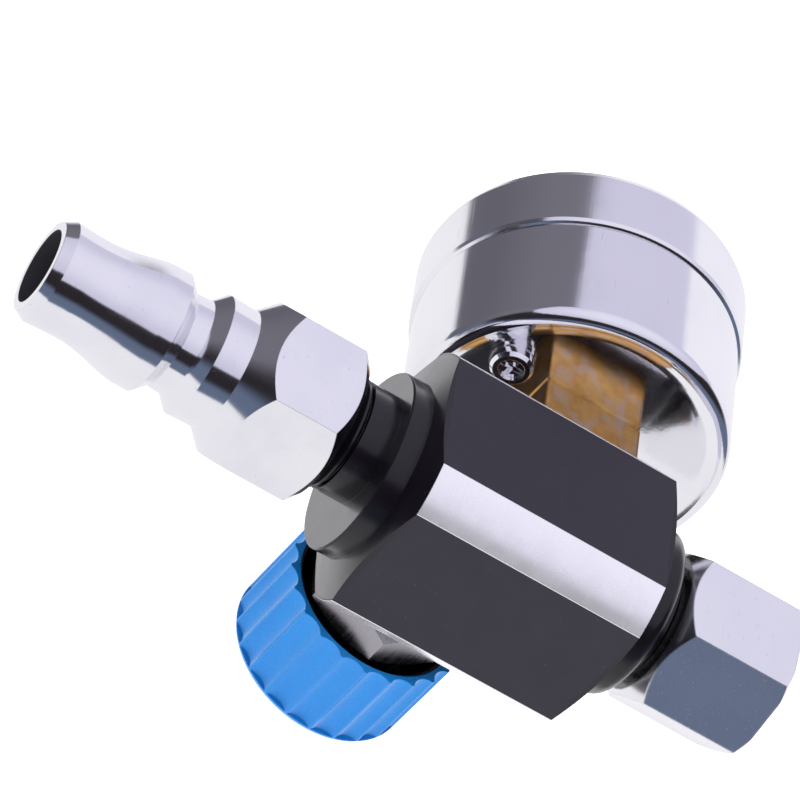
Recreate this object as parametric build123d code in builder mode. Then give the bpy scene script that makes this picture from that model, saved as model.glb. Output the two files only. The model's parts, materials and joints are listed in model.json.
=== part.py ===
from build123d import *
import os
from math import atan2, cos, degrees, radians, sin

# Inline air pressure regulator for a spray gun, in millimetres.
#
# The origin is on the body's axis, in the middle of the swivel nut's thread at the outlet. +X
# points along the body to the quick-connect plug at the inlet, the gauge looks out along -Y, and
# the adjusting knob hangs below along -Z. Distances along the body are taken from its middle.

os.makedirs("parts", exist_ok=True)

# ---------------------------------------------------------------- driving dimensions

# Body: a square bar, turned down to round the corners and coned at both ends.
BAR = 25.0  # across the flats
CORNER_R = 15.0  # radius of the turned corners
STRIP_END = 14.25  # where the turned corners meet the end cones
CONE_RUN = 1.25
CONE_END = STRIP_END + CONE_RUN
INLET_DISC_R = 10.7
INLET_DISC_END = 18.0
OUTLET_COLLAR_R = 10.1
OUTLET_COLLAR_END = 18.5
FACE = BAR / 2

# Pipe thread, G 1/4: crest, root and tapping radii with 19 threads to the inch.
THREAD_CREST = 6.578
THREAD_ROOT = 5.75
TAPPED_R = 5.9
PITCH = 25.4 / 19

# Inlet stub, bored off centre so that it opens under the valve seat.
INLET_RISE = 2.0
STUB_END = 31.5
STUB_THREAD_START = 21.4
STUB_BORE_R = 3.6
FEED_R = 2.2

# Quick-connect plug.
PLUG_FACE = 23.5
PLUG_TIP = 59.2
PLUG_FLATS = 18.1
PLUG_BORE_R = 4.25
PLUG_NOSE_R = 7.05  # the shoulder that a coupler's balls drop behind
PLUG_FLOOR = 33.0

# Outlet: a short boss on the body, and a nipple that carries the swivel nut.
OUTLET_BOSS_R = 7.2
OUTLET_BOSS_END = 19.6
NUT_BACK = 20.2
NUT_FACE = 34.6
NUT_FLATS = 17.4
NUT_WALL_END = 22.0  # the nut's end wall, which the nipple's flange holds
NUT_RELIEF_R = 6.6
NUT_THREAD_START = 27.4
NUT_THREAD_END = 33.6
BODY_X = (NUT_THREAD_START + NUT_THREAD_END) / 2  # from the origin to the body's middle
NIPPLE_ROOT = 10.6
NIPPLE_TIP = 26.4
NIPPLE_R = 4.8
NIPPLE_BORE_R = 2.6
FLANGE_R = 5.65
FLANGE_BACK = 22.1

# Knob, bonnet, spring, piston and valve share one axis across the body.
KNOB_X = 4.75
BONNET_FLATS = 16.0
BONNET_THREAD_R = 7.0
BONNET_BORE_R = 5.2
BONNET_TOP = 23.2
BONNET_HEX_END = 17.0
KNOB_RIM = 16.4
KNOB_TOP = 28.7
KNOB_FLUTES = 22
KNOB_R = 11.15
FLUTE_DEPTH = 0.75
FLUTE_R = 1.9
CORE_R = 9.95
CORE_BORE_R = 9.5
SCREW_R = 3.0
SCREW_PITCH = 1.0
SCREW_THREAD_END = 26.6
SCREW_HEAD = 27.1  # the screw's head is moulded into the core's end wall
SCREW_HEAD_R = 4.6
SCREW_HEAD_TOP = 27.6
CORE_TOP = 27.8
KNOB_SCREW_R = 1.1
KNOB_SCREW_END = 24.2
RUNNING_GAP = 0.05
CYLINDER_R = 6.0
CYLINDER_FLOOR = 2.0
PISTON_FLOOR = 4.6
PISTON_TOP = 8.0
SEAT_R = 5.0
VALVE_BORE_R = 3.7
VALVE_FLOOR = -9.5
SPRING_SEAT = 19.0
SPRING_SEAT_TOP = 20.2
MAIN_SPRING_R = 4.1
MAIN_WIRE_R = 0.6
MAIN_TURNS = 5
VALVE_SPRING_R = 2.5
VALVE_WIRE_R = 0.2
VALVE_TURNS = 6

# Gauge on its own axis, square to the body and to the knob.
GAUGE_X = -6.6
SOCKET = 12.6  # brass square
SOCKET_THREAD_R = 4.85
PORT_FLOOR = 4.5
CASE_BACK = 20.6
CASE_R = 18.7
CASE_WALL = 0.6
DISH_R = 15.2
RIM_RISE = 0.7  # how far the case's rounded rim stands behind its sunk back
BEZEL_BACK = 35.3
BEZEL_FRONT = 44.6
BEZEL_R = 19.1
SPIGOT_R = 5.0
SPIGOT_END = 23.6
RIM_R = 1.4  # rounded back edge of the case
CASE_LIP = 41.9
DIAL_BACK = 38.0
DIAL_FRONT = 38.4
POINTER_BACK = DIAL_FRONT + 0.9
POINTER_FRONT = POINTER_BACK + 1.0
CASE_SCREW_R = 1.25
CASE_SCREW_HEAD = 18.6
CASE_SCREW_FLANGE_R = 2.6
SCREW_CIRCLE_R = 12.6
SCREW_BEARING = -61.0

# Gauge movement: levels along the gauge's line, then sizes and bearings.
POST_TOP = 27.0
ARBOR_BACK = POST_TOP + 0.1
PLATE = 0.8
GEAR_LEVEL = 29.6
GEAR = 0.8
LINK_LEVEL = 30.6
LINK = 0.5
UPPER_PLATE = 33.4
TUBE_MID = 30.2
TUBE_R = 11.6
TUBE_ROOT = 120.0
TUBE_SWEEP = 238.0
TUBE_END = TUBE_ROOT + 10 + TUBE_SWEEP
LUG_BEARING = TUBE_END + 12
TAIL_R = 3.4
LINK_PIN_R = 0.35
ARBOR_R = 0.45
TUBE_THICK = 1.5  # the flattened tube, across and along the gauge's line
TUBE_WIDE = 4.0
TUBE_WALL = 0.3
PINION_TEETH = 10
SECTOR_TEETH = 70
TOOTH_MODULE = 0.16
SECTOR_BEARING = 65.0  # of the sector's pivot round the pointer's arbor
POINTER_ZERO = 135.0
POINTER_SWEEP = 270.0
POINTER_R = 13.5

# ---------------------------------------------------------------- lines that the pieces sit on

# Each line is a plane whose X runs along the line, so that a half section drawn on it as
# (distance along the line, radius) can be turned about the plane's own X.
BODY_LINE = Plane(origin=(BODY_X, 0, 0), x_dir=(1, 0, 0), z_dir=(0, 0, 1))
INLET_LINE = Plane(origin=(BODY_X, 0, INLET_RISE), x_dir=(1, 0, 0), z_dir=(0, 0, 1))
KNOB_LINE = Plane(origin=(BODY_X + KNOB_X, 0, 0), x_dir=(0, 0, -1), z_dir=(0, 1, 0))
GAUGE_LINE = Plane(origin=(BODY_X + GAUGE_X, 0, 0), x_dir=(0, -1, 0), z_dir=(0, 0, 1))


def across(line, distance):
    """The plane square to a line, a distance along it."""
    return Plane(origin=line.origin + line.x_dir * distance, x_dir=line.z_dir, z_dir=line.x_dir)


def turn(line, *outline, mode=Mode.ADD):
    """Turn a half section of (distance, radius) points about the line."""
    with BuildSketch(line) as half_section:
        Polygon(*outline, align=None)
    revolve(half_section.sketch, axis=Axis(line.origin, line.x_dir), mode=mode)


def tube(line, start, end, outer, inner, mode=Mode.ADD):
    """A plain ring or sleeve from start to end along the line."""
    turn(line, (start, inner), (end, inner), (end, outer), (start, outer), mode=mode)


def drill(line, start, end, radius):
    """A round hole from start to end along the line."""
    tube(line, start, end, radius, 0, mode=Mode.SUBTRACT)


def mill_hexagon(line, start, end, flats, bearing=0):
    """Keep only what lies inside a hexagonal bar."""
    with BuildSketch(across(line, start)) as hexagon:
        RegularPolygon(radius=flats / 2, side_count=6, major_radius=False, rotation=bearing)
    extrude(hexagon.sketch, amount=end - start, mode=Mode.INTERSECT)


def ridges(start, end, crest, root, pitch):
    """Points of a screw thread's outline, drawn as rings, from start towards end."""
    count = int((end - start) / pitch)
    points = []
    for turn_number in range(count):
        left = start + turn_number * pitch
        points += [
            (left, root),
            (left + 0.4 * pitch, crest),
            (left + 0.6 * pitch, crest),
            (left + pitch, root),
        ]
    return points


def ring_seal(line, distance, radius, wire):
    """An O-ring round the line."""
    with BuildSketch(line) as section:
        with Locations((distance, radius)):
            Circle(wire)
    revolve(section.sketch, axis=Axis(line.origin, line.x_dir))


def coil(line, start, end, radius, wire, turns):
    """A compression spring: its wire is swept along a helix."""
    path = Helix(
        pitch=(end - start - 2 * wire) / turns,
        height=end - start - 2 * wire,
        radius=radius,
        center=line.origin + line.x_dir * (start + wire),
        direction=line.x_dir,
    )
    with BuildSketch(Plane(origin=path @ 0, z_dir=path % 0)) as section:
        Circle(wire)
    sweep(section.sketch, path=path)


# ---------------------------------------------------------------- body

with BuildPart() as body:
    turn(
        BODY_LINE,
        (-OUTLET_COLLAR_END, 0),
        (-OUTLET_COLLAR_END, OUTLET_COLLAR_R),
        (-CONE_END, OUTLET_COLLAR_R),
        (-STRIP_END, CORNER_R),
        (STRIP_END, CORNER_R),
        (CONE_END, INLET_DISC_R),
        (INLET_DISC_END, INLET_DISC_R),
        (INLET_DISC_END, 0),
    )
    collar_rim = body.edges().filter_by(GeomType.CIRCLE).sort_by(Axis.X)[0]
    fillet(collar_rim, radius=1.3)
    disc_rim = body.edges().filter_by(GeomType.CIRCLE).sort_by(Axis.X)[-1]
    fillet(disc_rim, radius=0.25)
    with Locations(BODY_LINE):
        Box(4 * BAR, BAR, BAR, mode=Mode.INTERSECT)
    # Boss behind the swivel nut, and the inlet stub with the plug's thread.
    tube(BODY_LINE, -OUTLET_BOSS_END, -OUTLET_COLLAR_END, OUTLET_BOSS_R, 0)
    turn(
        INLET_LINE,
        (INLET_DISC_END, 0),
        (INLET_DISC_END, THREAD_CREST - 0.1),
        (STUB_THREAD_START, THREAD_CREST - 0.1),
        *ridges(STUB_THREAD_START, STUB_END - 0.5, THREAD_CREST, THREAD_ROOT, PITCH),
        (STUB_END, THREAD_ROOT - 0.3),
        (STUB_END, 0),
    )
    drill(INLET_LINE, KNOB_X, STUB_END, FEED_R)
    drill(INLET_LINE, INLET_DISC_END + 4, STUB_END, STUB_BORE_R)
    # Bonnet thread, cylinder, seat pocket and valve chamber.
    drill(KNOB_LINE, PISTON_TOP, FACE + 2, BONNET_THREAD_R)
    drill(KNOB_LINE, CYLINDER_FLOOR, FACE, CYLINDER_R)
    drill(KNOB_LINE, 0, FACE, SEAT_R)
    drill(KNOB_LINE, VALVE_FLOOR, FACE, VALVE_BORE_R)
    # Outlet port, its way into the cylinder, and the gauge port.
    drill(BODY_LINE, -OUTLET_BOSS_END, -NIPPLE_ROOT + 0.6, NIPPLE_R)
    drill(BODY_LINE, -10.5, -2.5, 3.2)
    feed_line = Plane(origin=(BODY_X, 0, -3.0), x_dir=(1, 0, 0), z_dir=(0, 0, 1))
    drill(feed_line, -4.0, 2.0, 1.0)
    drill(GAUGE_LINE, PORT_FLOOR, FACE + 1, SOCKET_THREAD_R)
    drill(GAUGE_LINE, 0, FACE, 2.0)

# ---------------------------------------------------------------- inlet plug

with BuildPart() as inlet_plug:
    with BuildSketch(INLET_LINE):
        with BuildLine():
            Polyline(
                (PLUG_TIP - 1.3, 5.95),
                (PLUG_TIP, 5.25),
                (PLUG_TIP, 0),
                (PLUG_FACE, 0),
                (PLUG_FACE, 8.5),
                (PLUG_FACE + 1.8, 10.5),
                (32.7, 10.5),
                (36.3, 7.05),
                (39.6, 7.15),
                (41.1, 5.65),
                (43.1, 5.55),
                (44.6, PLUG_NOSE_R),
                (46.4, PLUG_NOSE_R),
            )
            Spline(
                (46.4, PLUG_NOSE_R),
                (49.5, 6.45),
                (52.6, 5.86),
                (PLUG_TIP - 1.3, 5.95),
                tangents=((1, -0.08), (1, 0.04)),
            )
        make_face()
    revolve(axis=Axis(INLET_LINE.origin, INLET_LINE.x_dir))
    mill_hexagon(INLET_LINE, PLUG_FACE, PLUG_TIP, PLUG_FLATS, bearing=10)
    drill(INLET_LINE, PLUG_FLOOR - 0.5, PLUG_TIP, PLUG_BORE_R)
    drill(INLET_LINE, PLUG_FACE, PLUG_FLOOR, THREAD_CREST + RUNNING_GAP)
    turn(
        INLET_LINE,
        (PLUG_FACE, 0),
        (PLUG_FACE, THREAD_CREST + 0.9),
        (PLUG_FACE + 0.9, THREAD_CREST),
        (PLUG_FACE + 0.9, 0),
        mode=Mode.SUBTRACT,
    )

with BuildPart() as inlet_washer:
    tube(INLET_LINE, STUB_END, PLUG_FLOOR, 6.3, 3.9)

# ---------------------------------------------------------------- outlet nipple and swivel nut

with BuildPart() as outlet_nipple:
    turn(
        BODY_LINE,
        (-NIPPLE_ROOT, 0),
        (-NIPPLE_ROOT, NIPPLE_R - 0.5),
        (-NIPPLE_ROOT - 0.5, NIPPLE_R),
        (-FLANGE_BACK, NIPPLE_R),
        (-FLANGE_BACK, FLANGE_R),
        (-FLANGE_BACK - 1.1, FLANGE_R),
        (-NIPPLE_TIP + 0.5, 3.4),
        (-NIPPLE_TIP, 3.1),
        (-NIPPLE_TIP, 0),
    )
    drill(BODY_LINE, -NIPPLE_TIP, -NIPPLE_ROOT, NIPPLE_BORE_R)

with BuildPart() as outlet_washer:
    tube(BODY_LINE, -OUTLET_BOSS_END - 0.5, -OUTLET_BOSS_END, 6.1, NIPPLE_R)

with BuildPart() as outlet_nut:
    turn(
        BODY_LINE,
        (-NUT_BACK, 0),
        (-NUT_BACK, 8.2),
        (-NUT_BACK - 1.7, 10.1),
        (-NUT_FACE + 0.7, 10.1),
        (-NUT_FACE, 9.1),
        (-NUT_FACE, 0),
    )
    mill_hexagon(BODY_LINE, -NUT_FACE, -NUT_BACK, NUT_FLATS, bearing=18)
    drill(BODY_LINE, -NUT_FACE, -NUT_BACK, NIPPLE_R + RUNNING_GAP)
    drill(BODY_LINE, -NUT_THREAD_START, -NUT_WALL_END, NUT_RELIEF_R)
    drill(BODY_LINE, -NUT_FACE, -NUT_THREAD_START, TAPPED_R)
    turn(
        BODY_LINE,
        (-NUT_FACE, 0),
        (-NUT_FACE, 6.9),
        (-NUT_THREAD_END, TAPPED_R),
        (-NUT_THREAD_END, 0),
        mode=Mode.SUBTRACT,
    )

# ---------------------------------------------------------------- valve

with BuildPart() as valve_seat:
    tube(KNOB_LINE, 0, CYLINDER_FLOOR, SEAT_R, 1.8)
    tube(KNOB_LINE, -0.4, 0, 2.3, 1.8)
    tube(KNOB_LINE, 0.5, 1.5, SEAT_R, 4.05, mode=Mode.SUBTRACT)

with BuildPart() as seat_o_ring:
    ring_seal(KNOB_LINE, 1.0, 4.52, 0.45)

with BuildPart() as valve_poppet:
    turn(
        KNOB_LINE,
        (-6.2, 0),
        (-6.2, 0.9),
        (-5.9, 1.2),
        (-2.4, 1.2),
        (-2.4, 3.1),
        (-0.5, 3.1),
        (-0.5, 2.8),
        (-1.3, 2.8),
        (-1.3, 1.1),
        (PISTON_FLOOR, 1.1),
        (PISTON_FLOOR, 0),
    )

with BuildPart() as poppet_seal:
    tube(KNOB_LINE, -1.3, -0.4, 2.75, 1.1)

with BuildPart() as valve_spring:
    coil(KNOB_LINE, VALVE_FLOOR, -2.4, VALVE_SPRING_R, VALVE_WIRE_R, VALVE_TURNS)

# ---------------------------------------------------------------- piston, spring and bonnet

with BuildPart() as piston:
    turn(
        KNOB_LINE,
        (PISTON_FLOOR, 0),
        (PISTON_FLOOR, CYLINDER_R - 0.5),
        (PISTON_FLOOR + 0.4, CYLINDER_R - RUNNING_GAP),
        (PISTON_FLOOR + 1.1, CYLINDER_R - RUNNING_GAP),
        (PISTON_FLOOR + 1.1, 4.65),
        (PISTON_FLOOR + 2.5, 4.65),
        (PISTON_FLOOR + 2.5, CYLINDER_R - RUNNING_GAP),
        (PISTON_TOP, CYLINDER_R - RUNNING_GAP),
        (PISTON_TOP, 3.2),
        (PISTON_TOP + 1.6, 2.9),
        (PISTON_TOP + 1.6, 0),
    )

with BuildPart() as piston_o_ring:
    ring_seal(KNOB_LINE, PISTON_FLOOR + 1.8, 5.31, 0.65)

with BuildPart() as main_spring:
    coil(KNOB_LINE, PISTON_TOP, SPRING_SEAT, MAIN_SPRING_R, MAIN_WIRE_R, MAIN_TURNS)

with BuildPart() as spring_seat:
    tube(KNOB_LINE, SPRING_SEAT, SPRING_SEAT_TOP, BONNET_BORE_R - 0.1, 0)
    tube(KNOB_LINE, SPRING_SEAT - 1.2, SPRING_SEAT, 3.1, 0)

with BuildPart() as bonnet:
    turn(
        KNOB_LINE,
        (PISTON_TOP + 0.2, BONNET_BORE_R),
        (PISTON_TOP + 0.2, BONNET_THREAD_R - 0.4),
        (PISTON_TOP + 0.6, BONNET_THREAD_R),
        (FACE, BONNET_THREAD_R),
        (FACE, 8.0),
        (FACE + 0.75, 9.3),
        (BONNET_HEX_END - 0.75, 9.3),
        (BONNET_HEX_END, 8.0),
        (BONNET_HEX_END, 6.3),
        (BONNET_TOP - 0.5, 6.3),
        (BONNET_TOP, 5.8),
        (BONNET_TOP, SCREW_R + RUNNING_GAP),
        (21.0, SCREW_R + RUNNING_GAP),
        (20.6, BONNET_BORE_R),
    )
    mill_hexagon(KNOB_LINE, 0, 30, BONNET_FLATS)

# ---------------------------------------------------------------- knob and adjusting screw

with BuildPart() as adjusting_screw:
    turn(
        KNOB_LINE,
        (SPRING_SEAT_TOP, 0),
        (SPRING_SEAT_TOP, SCREW_R - 0.7),
        *ridges(SPRING_SEAT_TOP + 0.4, SCREW_THREAD_END, SCREW_R, SCREW_R - 0.5, SCREW_PITCH),
        (SCREW_HEAD, SCREW_R),
        (SCREW_HEAD, SCREW_HEAD_R),
        (SCREW_HEAD_TOP, SCREW_HEAD_R),
        (SCREW_HEAD_TOP, 0),
    )
    drill(KNOB_LINE, KNOB_SCREW_END - 0.5, CORE_TOP, KNOB_SCREW_R + 0.1)

with BuildPart() as knob_core:
    turn(
        KNOB_LINE,
        (KNOB_RIM + 0.4, CORE_BORE_R),
        (KNOB_RIM + 0.4, CORE_R),
        (CORE_TOP, CORE_R),
        (CORE_TOP, 1.4),
        (SCREW_HEAD_TOP, 1.4),
        (SCREW_HEAD_TOP, SCREW_HEAD_R),
        (SCREW_HEAD, SCREW_HEAD_R),
        (SCREW_HEAD, SCREW_R),
        (SCREW_HEAD - 0.2, SCREW_R),
        (SCREW_HEAD - 0.2, CORE_BORE_R - 0.8),
        (SCREW_HEAD - 0.9, CORE_BORE_R),
    )

with BuildPart() as adjusting_knob:
    turn(
        KNOB_LINE,
        (KNOB_RIM, CORE_R),
        (KNOB_RIM, KNOB_R),
        (KNOB_TOP - 0.9, KNOB_R),
        (KNOB_TOP - 0.35, KNOB_R - 0.3),
        (KNOB_TOP, KNOB_R - 1.0),
        (KNOB_TOP, 2.7),
        (CORE_TOP, 1.6),
        (CORE_TOP, CORE_R),
    )
    # Wide hollow flutes between narrow ridges, stopping short of the closed end.
    with BuildSketch(across(KNOB_LINE, KNOB_RIM)) as flutes:
        flute_circle = KNOB_R + FLUTE_R - FLUTE_DEPTH
        with PolarLocations(flute_circle, KNOB_FLUTES, start_angle=180 / KNOB_FLUTES):
            Circle(FLUTE_R)
    extrude(flutes.sketch, amount=KNOB_TOP - 0.9 - KNOB_RIM, mode=Mode.SUBTRACT)

with BuildPart() as knob_screw:
    turn(
        KNOB_LINE,
        (KNOB_TOP - 0.1, 0),
        (KNOB_TOP - 0.1, 2.5),
        (CORE_TOP, 1.4),
        (CORE_TOP, KNOB_SCREW_R),
        (KNOB_SCREW_END, KNOB_SCREW_R),
        (KNOB_SCREW_END, 0),
    )
    with BuildSketch(across(KNOB_LINE, KNOB_TOP)) as recess:
        Rectangle(2.4, 0.5)
        Rectangle(0.5, 2.4)
    extrude(recess.sketch, amount=-0.7, mode=Mode.SUBTRACT)

# ---------------------------------------------------------------- gauge housing

# Bearings on the gauge are taken round its line, from +Z (up) towards the outlet, which is
# anticlockwise on the dial.
FACE_PLANE = across(GAUGE_LINE, 0)


def at_bearing(bearing, radius):
    """Place on the gauge at a bearing and a radius, in the plane across its line."""
    return (radius * cos(radians(bearing)), radius * sin(radians(bearing)))


def line_through(place):
    """Line along the gauge's own, through a place on it."""
    return Plane(
        origin=FACE_PLANE.from_local_coords((*place, 0)),
        x_dir=GAUGE_LINE.x_dir,
        z_dir=GAUGE_LINE.z_dir,
    )


def sweep_round(start, sweep, low, high, inner, outer, corner=0.0, mode=Mode.ADD):
    """Turn a rounded rectangle part of the way round the gauge, from a bearing."""
    from_bearing = Plane(
        origin=GAUGE_LINE.origin,
        x_dir=GAUGE_LINE.x_dir,
        z_dir=(-cos(radians(start)), 0, -sin(radians(start))),
    )
    with BuildSketch(from_bearing) as section:
        with Locations(((low + high) / 2, (inner + outer) / 2)):
            if corner:
                RectangleRounded(high - low, outer - inner, corner)
            else:
                Rectangle(high - low, outer - inner)
    revolve(
        section.sketch,
        axis=Axis(GAUGE_LINE.origin, GAUGE_LINE.x_dir),
        revolution_arc=sweep,
        mode=mode,
    )


screw_bearings = (SCREW_BEARING, SCREW_BEARING + 180)
screw_places = [at_bearing(bearing, SCREW_CIRCLE_R) for bearing in screw_bearings]

with BuildPart() as gauge_socket:
    tube(GAUGE_LINE, PORT_FLOOR + 0.5, FACE, SOCKET_THREAD_R, 0)
    with BuildSketch(across(GAUGE_LINE, FACE)):
        RectangleRounded(SOCKET, SOCKET, 0.4)
    extrude(amount=CASE_BACK - FACE)
    chamfer(gauge_socket.faces().sort_by(Axis.Y)[0].edges(), length=0.3)
    tube(GAUGE_LINE, CASE_BACK, SPIGOT_END, SPIGOT_R, 0)
    # Post for the movement, and an arm out to the root that holds the curved tube.
    with BuildSketch(across(GAUGE_LINE, SPIGOT_END)):
        Rectangle(7.0, 7.0)
        with Locations(Rotation(0, 0, TUBE_ROOT)):
            with Locations(((TUBE_R + 1.2) / 2, 0)):
                Rectangle(TUBE_R + 1.2, 3.6)
    extrude(amount=POST_TOP - SPIGOT_END)
    sweep_round(TUBE_ROOT - 10, 20, POST_TOP, TUBE_MID + 2.6, TUBE_R - 1.4, TUBE_R + 1.4)
    drill(GAUGE_LINE, PORT_FLOOR, POST_TOP - 1.5, 1.3)

with BuildPart() as gauge_case:
    with BuildSketch(GAUGE_LINE):
        with BuildLine():
            rim_edge = (CASE_BACK - RIM_RISE, CASE_R - RIM_R)
            rim_bulge = (
                rim_edge[0] + RIM_R * (1 - cos(radians(45))),
                rim_edge[1] + RIM_R * sin(radians(45)),
            )
            ThreePointArc(rim_edge, rim_bulge, (rim_edge[0] + RIM_R, CASE_R))
            Polyline(
                (rim_edge[0] + RIM_R, CASE_R),
                (BEZEL_BACK - 0.3, CASE_R),
                (BEZEL_BACK - 0.3, CASE_R - 0.4),
                (CASE_LIP, CASE_R - 0.4),
                (CASE_LIP, CASE_R - 1.0),
                (CASE_BACK + 3.0, CASE_R - 1.0),
                (CASE_BACK + CASE_WALL, DISH_R + 0.3),
                (CASE_BACK + CASE_WALL, SPIGOT_R + RUNNING_GAP),
                (CASE_BACK, SPIGOT_R + RUNNING_GAP),
                (CASE_BACK, DISH_R),
            )
            TangentArc((CASE_BACK, DISH_R), rim_edge, tangent=(0, 1))
        make_face()
    revolve(axis=Axis(GAUGE_LINE.origin, GAUGE_LINE.x_dir))
    with BuildSketch(across(GAUGE_LINE, CASE_BACK)):
        with Locations(*screw_places):
            Circle(CASE_SCREW_R + RUNNING_GAP)
    extrude(amount=CASE_WALL, mode=Mode.SUBTRACT)

with BuildPart() as support_plate:
    # Bridge inside the case that the two case screws pull up against.
    with BuildSketch(across(GAUGE_LINE, CASE_BACK + CASE_WALL)):
        with Locations(Rotation(0, 0, SCREW_BEARING)):
            SlotCenterToCenter(2 * SCREW_CIRCLE_R, 6.0)
        Circle(SPIGOT_R + 2.5)
        Circle(SPIGOT_R + RUNNING_GAP, mode=Mode.SUBTRACT)
        with Locations(*screw_places):
            Circle(CASE_SCREW_R, mode=Mode.SUBTRACT)
    extrude(amount=2.0)

with BuildPart() as case_screws:
    for place in screw_places:
        screw_line = line_through(place)
        turn(
            screw_line,
            (CASE_SCREW_HEAD, 0),
            (CASE_SCREW_HEAD, 2.1),
            (CASE_SCREW_HEAD + 0.4, 2.45),
            (CASE_BACK - 0.6, 2.45),
            (CASE_BACK - 0.6, CASE_SCREW_FLANGE_R),
            (CASE_BACK, CASE_SCREW_FLANGE_R),
            (CASE_BACK, CASE_SCREW_R),
            (CASE_BACK + 2.5, CASE_SCREW_R),
            (CASE_BACK + 2.5, 0),
        )
        drill(screw_line, CASE_SCREW_HEAD, CASE_SCREW_HEAD + 0.5, 1.5)
        with BuildSketch(across(screw_line, CASE_SCREW_HEAD + 0.5)) as cross:
            Rectangle(2.6, 0.6)
            Rectangle(0.6, 2.6)
        extrude(cross.sketch, amount=0.7, mode=Mode.SUBTRACT)

with BuildPart() as gauge_bezel:
    turn(
        GAUGE_LINE,
        (BEZEL_BACK, CASE_R - 0.35),
        (BEZEL_BACK, BEZEL_R - 0.6),
        (BEZEL_BACK + 0.2, BEZEL_R - 0.2),
        (BEZEL_BACK + 0.6, BEZEL_R),
        (BEZEL_FRONT - 1.4, BEZEL_R),
        (BEZEL_FRONT - 0.5, BEZEL_R - 0.35),
        (BEZEL_FRONT, BEZEL_R - 1.2),
        (BEZEL_FRONT, BEZEL_R - 2.1),
        (BEZEL_FRONT - 0.6, BEZEL_R - 2.4),
        (BEZEL_FRONT - 0.8, BEZEL_R - 2.0),
        (BEZEL_FRONT - 0.8, CASE_R - 0.35),
    )

with BuildPart() as gauge_lens:
    tube(GAUGE_LINE, CASE_LIP + 0.4, BEZEL_FRONT - 0.8, CASE_R - 0.5, 0)

with BuildPart() as lens_gasket:
    tube(GAUGE_LINE, CASE_LIP, CASE_LIP + 0.4, CASE_R - 0.5, CASE_R - 1.7)

dial_screw_places = [(0, 5.5), (0, -5.5)]

with BuildPart() as gauge_dial:
    tube(GAUGE_LINE, DIAL_BACK, DIAL_FRONT, CASE_R - 1.2, 1.0)
    with BuildSketch(across(GAUGE_LINE, DIAL_BACK)):
        with Locations(*dial_screw_places):
            Circle(0.6)
    extrude(amount=DIAL_FRONT - DIAL_BACK, mode=Mode.SUBTRACT)

with BuildPart() as dial_screws:
    for place in dial_screw_places:
        screw_line = line_through(place)
        tube(screw_line, DIAL_BACK, DIAL_FRONT, 0.6, 0)
        tube(screw_line, DIAL_FRONT, DIAL_FRONT + 0.5, 1.0, 0)
        with BuildSketch(across(screw_line, DIAL_FRONT + 0.2)) as slot:
            Rectangle(0.3, 2.4)
        extrude(slot.sketch, amount=0.4, mode=Mode.SUBTRACT)

with BuildPart() as stop_pin:
    tube(line_through(at_bearing(POINTER_ZERO + 4.5, 9.0)), DIAL_FRONT, POINTER_FRONT, 0.25, 0)

# ---------------------------------------------------------------- gauge movement

pinion_r = TOOTH_MODULE * PINION_TEETH / 2
sector_r = TOOTH_MODULE * SECTOR_TEETH / 2
sector_sweep = POINTER_SWEEP * PINION_TEETH / SECTOR_TEETH
sector_place = at_bearing(SECTOR_BEARING, pinion_r + sector_r)
sector_line = line_through(sector_place)
tail_bearing = SECTOR_BEARING - sector_sweep / 2
tail_place = at_bearing(tail_bearing, TAIL_R)


def toothed_outline(pitch_r, teeth, numbers, phase):
    """Outline points of slim teeth round (0, 0)."""
    step = 360 / teeth
    points = []
    for number in numbers:
        for offset, height in ((-0.30, -1.3), (-0.10, 0.8), (0.10, 0.8), (0.30, -1.3)):
            bearing = phase + (number + offset) * step
            points.append(at_bearing(bearing, pitch_r + height * TOOTH_MODULE))
    return points


with BuildPart() as movement_plates:
    for level in (POST_TOP, UPPER_PLATE):
        with BuildSketch(across(GAUGE_LINE, level)) as plate_outline:
            with Locations(Rotation(0, 0, SECTOR_BEARING)):
                with Locations((2.2, 0)):
                    RectangleRounded(12.4, 7.0, 1.2)
            Circle(ARBOR_R + RUNNING_GAP, mode=Mode.SUBTRACT)
            with Locations(sector_place):
                Circle(ARBOR_R + RUNNING_GAP, mode=Mode.SUBTRACT)
        extrude(plate_outline.sketch, amount=PLATE)
    # Pillars join the two plates at opposite corners.
    with BuildSketch(across(GAUGE_LINE, POST_TOP + PLATE)) as pillars:
        with Locations(Rotation(0, 0, SECTOR_BEARING)):
            with Locations((-3.2, 2.5), (6.9, -2.5)):
                Circle(0.6)
    extrude(pillars.sketch, amount=UPPER_PLATE - POST_TOP - PLATE)

with BuildPart() as dial_crossbar:
    # Crossbar on the upper plate, with a short post at each end under the dial's screws.
    with BuildSketch(across(GAUGE_LINE, UPPER_PLATE + PLATE)) as crossbar:
        SlotCenterToCenter(11.0, 2.4, rotation=90)
        Circle(1.0, mode=Mode.SUBTRACT)
        with Locations(sector_place):
            Circle(1.0, mode=Mode.SUBTRACT)
    extrude(crossbar.sketch, amount=0.5)
    for place in dial_screw_places:
        tube(line_through(place), UPPER_PLATE + PLATE + 0.5, DIAL_BACK, 1.1, 0)

with BuildPart() as pointer_arbor:
    tube(GAUGE_LINE, ARBOR_BACK, POINTER_FRONT + 0.1, ARBOR_R, 0)
    with BuildSketch(across(GAUGE_LINE, GEAR_LEVEL - 0.3)) as pinion:
        Polygon(
            *toothed_outline(pinion_r, PINION_TEETH, range(PINION_TEETH), SECTOR_BEARING),
            align=None,
        )
    extrude(pinion.sketch, amount=1.4)

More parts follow.
